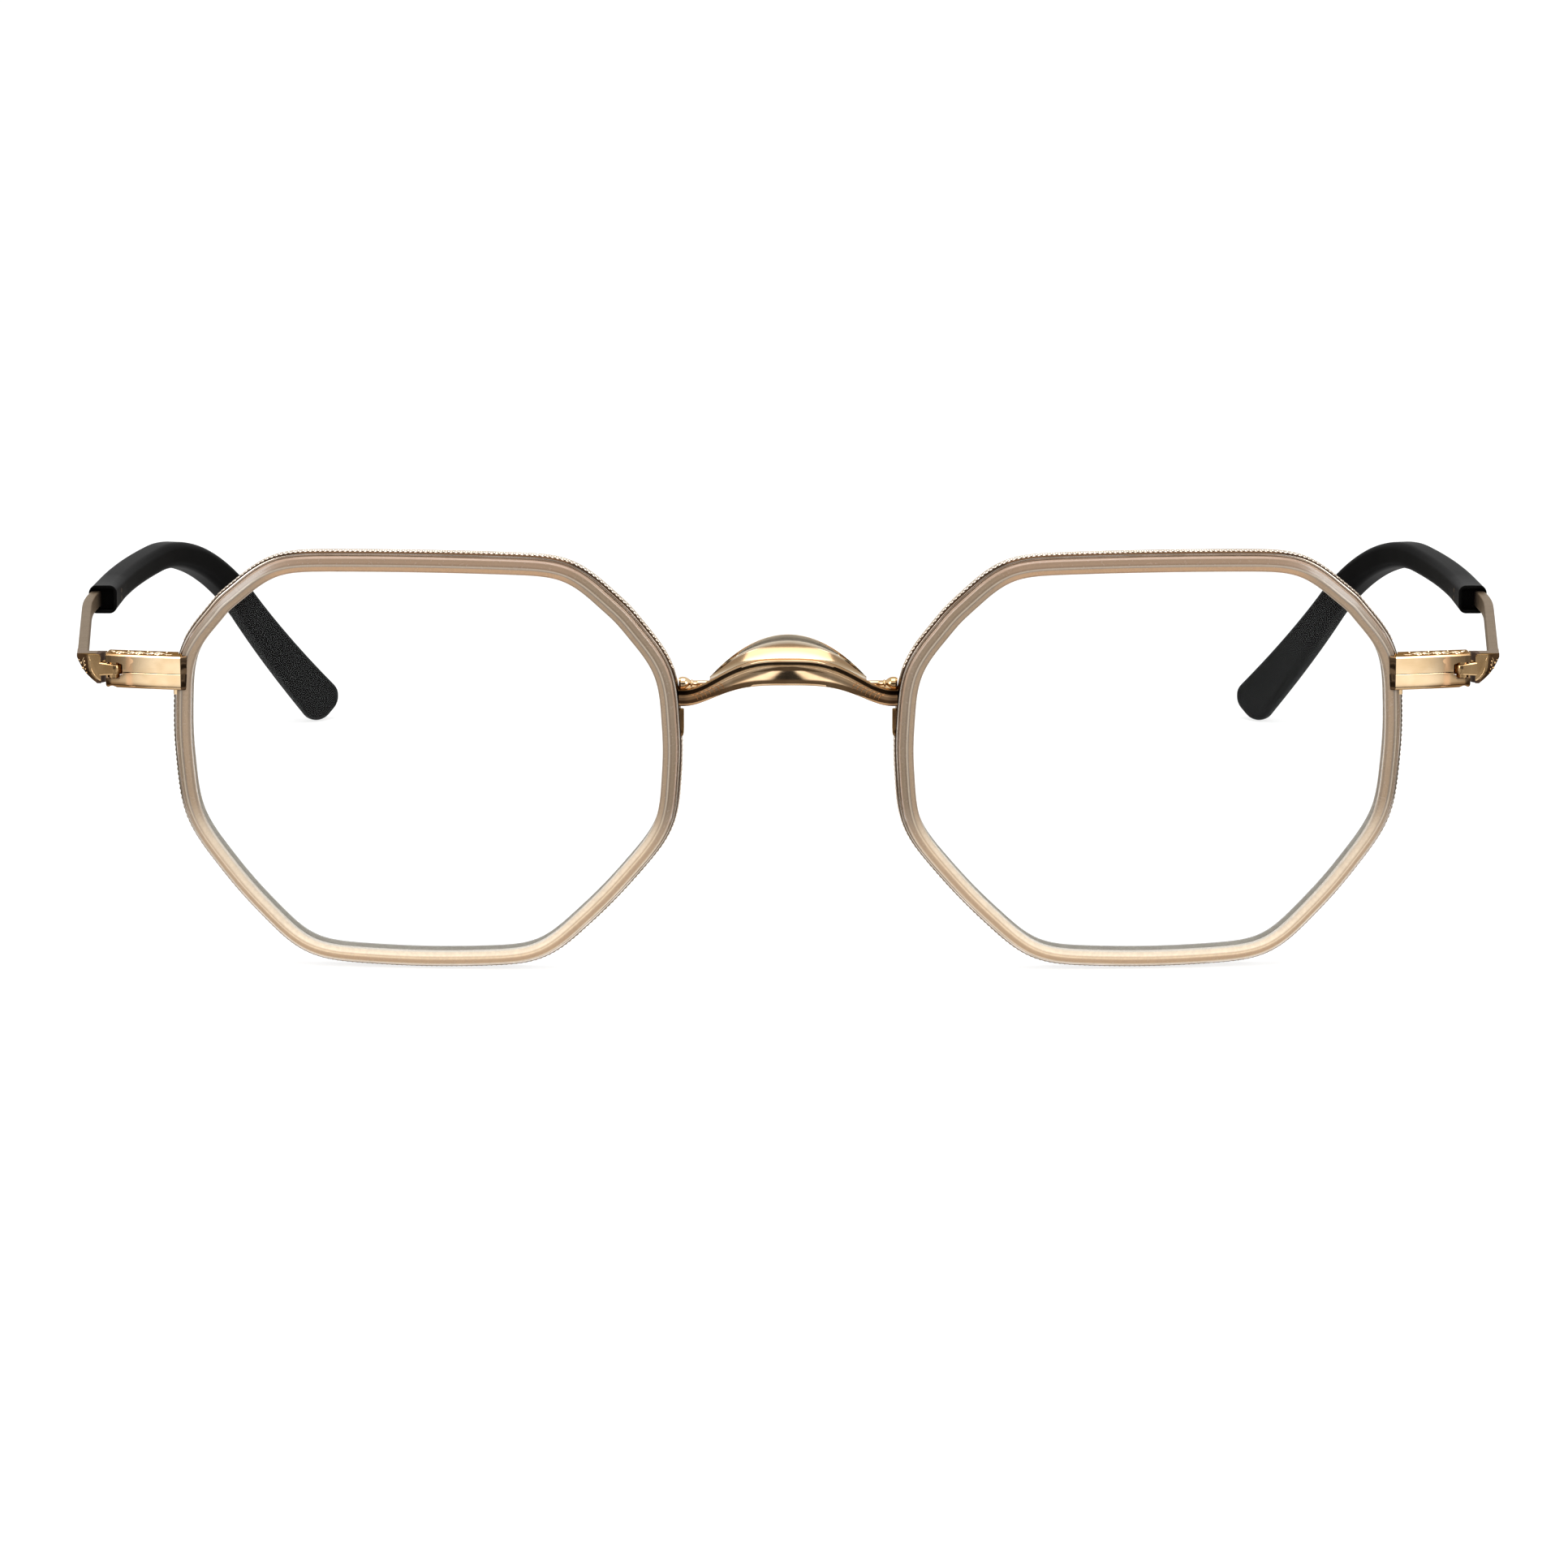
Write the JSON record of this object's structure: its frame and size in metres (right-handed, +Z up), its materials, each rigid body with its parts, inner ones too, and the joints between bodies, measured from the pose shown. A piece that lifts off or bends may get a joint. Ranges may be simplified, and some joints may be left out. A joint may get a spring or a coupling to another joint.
{
  "type": "geometric eyeglasses",
  "caption": "Octagonal eyeglass frame: thin metal rims with plastic liners, a metal saddle bridge, split end pieces and folding temples with plastic tips.",
  "frame": {"origin": "centre of the whole object's box, at the height of the surface that it stands on, with both temples open", "axes": "+X towards the wearer's left, +Y from the front back along the temples, +Z up; right and left in the names are the wearer's"},
  "size_m": [0.149, 0.1224, 0.0418],
  "materials": {
    "gold_metal": "polished warm gold",
    "satin_gold": "satin dull gold",
    "liner_plastic": "glossy, slightly cloudy taupe",
    "lens": "clear",
    "black_plastic": "matte black"
  },
  "bodies": {
    "front": {"rim_right": "gold_metal", "rim_left": "gold_metal", "liner_right": "liner_plastic", "liner_left": "liner_plastic", "lens_right": "lens", "lens_left": "lens", "bridge_bar": "gold_metal", "nose_saddle": "gold_metal", "bridge_arm_right": "gold_metal", "bridge_arm_left": "gold_metal", "bridge_pad_right": "gold_metal", "bridge_pad_left": "gold_metal", "endpiece_upper_right": "gold_metal", "endpiece_upper_left": "gold_metal", "endpiece_lower_right": "gold_metal", "endpiece_lower_left": "gold_metal", "closing_screw_right": "gold_metal", "closing_screw_left": "gold_metal", "hinge_screw_right": "gold_metal", "hinge_screw_left": "gold_metal"},
    "temple_right": {"hinge_block_right": "gold_metal", "temple_strip_right": "satin_gold", "temple_tip_right": "black_plastic", "tip_pins_right": "satin_gold"},
    "temple_left": {"hinge_block_left": "gold_metal", "temple_strip_left": "satin_gold", "temple_tip_left": "black_plastic", "tip_pins_left": "satin_gold"}
  },
  "joints": [
    {"name": "fold_right", "type": "hinge", "parent": "front", "child": "temple_right", "pos_m": [-0.06565, -0.05532, 0.02944], "axis": [0, -0.1011, -0.9949], "range_deg": [0, 82]},
    {"name": "fold_left", "type": "hinge", "parent": "front", "child": "temple_left", "pos_m": [0.06565, -0.05532, 0.02944], "axis": [0, 0.1011, 0.9949], "range_deg": [0, 70]}
  ]
}
